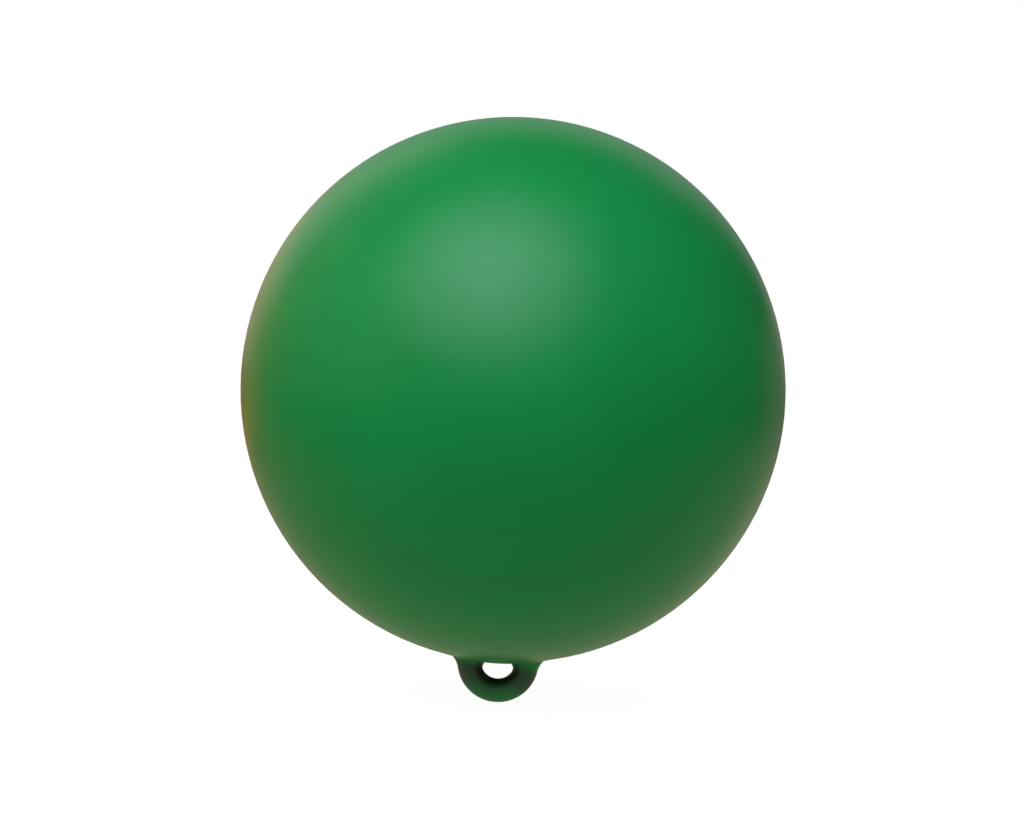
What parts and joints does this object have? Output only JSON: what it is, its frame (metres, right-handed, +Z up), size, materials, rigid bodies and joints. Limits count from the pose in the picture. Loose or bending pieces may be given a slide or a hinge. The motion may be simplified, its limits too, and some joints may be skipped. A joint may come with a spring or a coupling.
{
  "type": "slalom course buoy",
  "caption": "Inflatable vinyl ball buoy that marks a water-ski slalom course, with a moulded rope eye under it and a screw valve at its back.",
  "frame": {"origin": "centre of the ball, which lies on the water's surface when the buoy is moored", "axes": "+Z up through the ball and away from the rope eye, +Y along the eye's hole from the front to the back, where the valve is"},
  "size_m": [0.216, 0.216, 0.2331],
  "materials": {
    "vinyl": "satin green soft vinyl",
    "nylon": "natural nylon",
    "rubber": "black rubber"
  },
  "bodies": {
    "buoy": {"shell": "vinyl", "rope_eye": "vinyl", "valve_seat": "nylon"},
    "seal": {"valve_washer": "rubber"},
    "plug": {"valve_plug": "nylon"}
  },
  "joints": [
    {"name": "plug_lift", "type": "slide", "parent": "buoy", "child": "seal", "axis": [0, 0.766, -0.6428], "range_m": [0, 0.01]},
    {"name": "plug_turn", "type": "hinge", "parent": "seal", "child": "plug", "pos_m": [0, 0.07936, -0.06659], "axis": [0, 0.766, -0.6428], "range_deg": [0, 1440]}
  ],
  "couplings": [
    {"joint": "plug_turn", "follows": "plug_lift", "rad_per_m": 2513.3}
  ]
}
